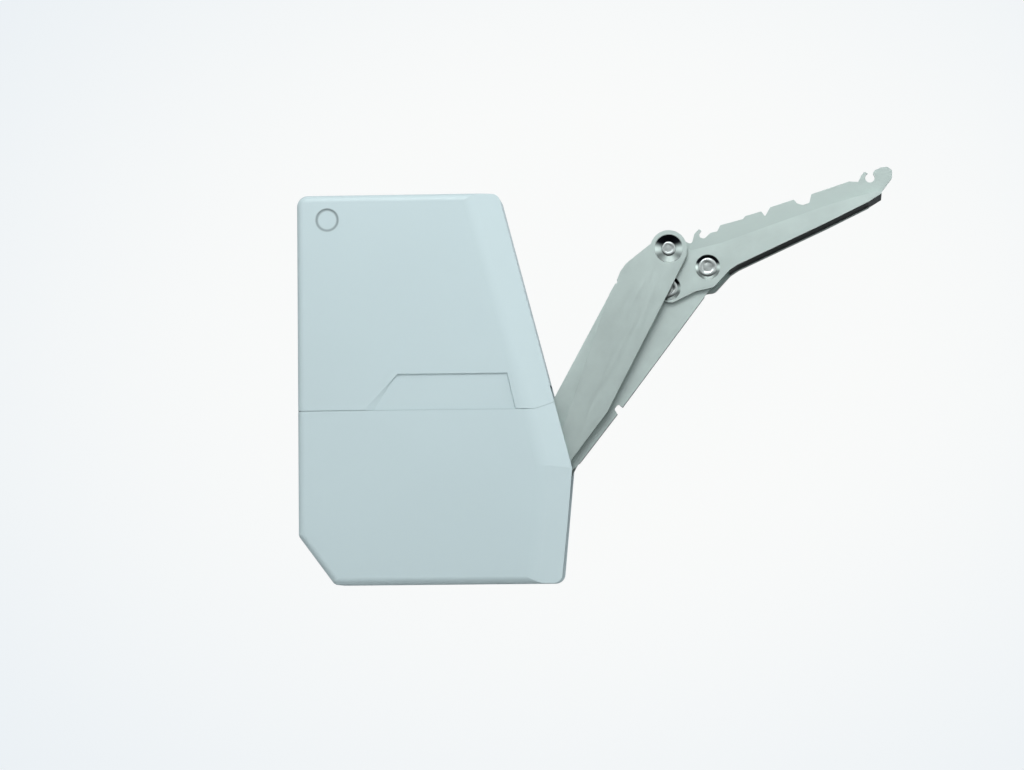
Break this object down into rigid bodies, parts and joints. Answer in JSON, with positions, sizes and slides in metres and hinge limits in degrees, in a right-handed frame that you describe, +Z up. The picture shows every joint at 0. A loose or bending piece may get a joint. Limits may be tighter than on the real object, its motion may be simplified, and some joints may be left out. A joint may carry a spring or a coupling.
{
  "type": "lift up flap stay",
  "caption": "Cabinet flap stay in the open pose: slim covered housing with a cam and spring pack, main and control levers, and a hooked front arm for the flap.",
  "frame": {"origin": "centre of the four wall screw holes on the mounting face of the base plate", "axes": "+Z up the cabinet side, +X from the housing towards the flap, +Y into the cabinet side"},
  "size_m": [0.3427, 0.038, 0.2386],
  "materials": {
    "cover_plastic": "fine satin",
    "inner_plastic": "plain",
    "zinc_steel": "zinc plated sheet",
    "zinc_casting": "die cast, satin",
    "pin_steel": "turned, bright",
    "spring_steel": "oiled wire",
    "stop_rubber": "matt",
    "lever_nickel": "satin nickel",
    "arm_nickel": "satin nickel",
    "rivet_nickel": "bright nickel"
  },
  "bodies": {
    "housing": {"base_plate": "zinc_steel", "cheek_plate": "zinc_steel", "cheek_posts": "zinc_steel", "cover_posts": "inner_plastic", "lever_pivot_front": "pin_steel", "lever_pivot_rear": "pin_steel", "control_pivot_stud": "pin_steel", "stop_buffer": "stop_rubber", "anchor_block": "zinc_casting", "spring_guide_rods": "pin_steel", "compression_springs": "spring_steel", "upper_cover": "cover_plastic", "lower_cover": "cover_plastic"},
    "main_lever": {"lever_near_plate": "lever_nickel", "lever_far_plate": "lever_nickel", "lever_bridge": "lever_nickel", "cam_plate": "zinc_steel", "cam_rivets": "pin_steel", "top_rivet": "rivet_nickel", "pivot_washers": "inner_plastic"},
    "front_arm": {"front_arm_channel": "arm_nickel", "spacer_rivet": "rivet_nickel", "lower_rivet": "rivet_nickel"},
    "control_lever": {"control_lever_channel": "lever_nickel"},
    "spring_carriage": {"spring_carriage": "zinc_casting", "roller_pin": "pin_steel"},
    "cam_roller": {"cam_roller": "inner_plastic"},
    "adjuster_screw": {"adjuster_screw": "pin_steel"},
    "spring_seat": {"spring_seat": "zinc_casting"}
  },
  "joints": [
    {"name": "main_lever_turn", "type": "hinge", "parent": "housing", "child": "main_lever", "pos_m": [0.0593, -0.015, -0.061], "axis": [0, 1, 0], "range_deg": [0, 132.15], "stiffness_Nm_per_rad": 1.5, "springref_deg": -85.94},
    {"name": "front_arm_turn", "type": "hinge", "parent": "main_lever", "child": "front_arm", "pos_m": [0.135, -0.015, 0.0797], "axis": [0, 1, 0], "range_deg": [-23.7, 0]},
    {"name": "control_lever_turn", "type": "hinge", "parent": "front_arm", "child": "control_lever", "pos_m": [0.1345, -0.015, 0.0571], "axis": [0, 1, 0], "range_deg": [0, 12.7]},
    {"name": "carriage_slide", "type": "slide", "parent": "housing", "child": "spring_carriage", "axis": [-0.6428, 0, 0.766], "range_m": [0, 0.02501], "deforming": ["compression_springs"]},
    {"name": "roller_turn", "type": "hinge", "parent": "spring_carriage", "child": "cam_roller", "pos_m": [0.04516, -0.0268, -0.04415], "axis": [0, 1, 0], "range_deg": [-480, 0]},
    {"name": "adjuster_turn", "type": "hinge", "parent": "housing", "child": "adjuster_screw", "pos_m": [-0.04033, -0.01625, 0.05774], "axis": [0.6428, 0, -0.766], "range_deg": [0, 3600.5]},
    {"name": "seat_slide", "type": "slide", "parent": "housing", "child": "spring_seat", "axis": [0.6428, 0, -0.766], "range_m": [0, 0.0125], "deforming": ["compression_springs"]}
  ],
  "couplings": [
    {"joint": "front_arm_turn", "follows": "main_lever_turn", "ratio": -0.17821},
    {"joint": "control_lever_turn", "follows": "main_lever_turn", "ratio": 0.095},
    {"joint": "carriage_slide", "follows": "main_lever_turn", "m_per_rad": 0.01084},
    {"joint": "roller_turn", "follows": "main_lever_turn", "ratio": -3.58},
    {"joint": "adjuster_turn", "follows": "seat_slide", "rad_per_m": 5026.5}
  ]
}
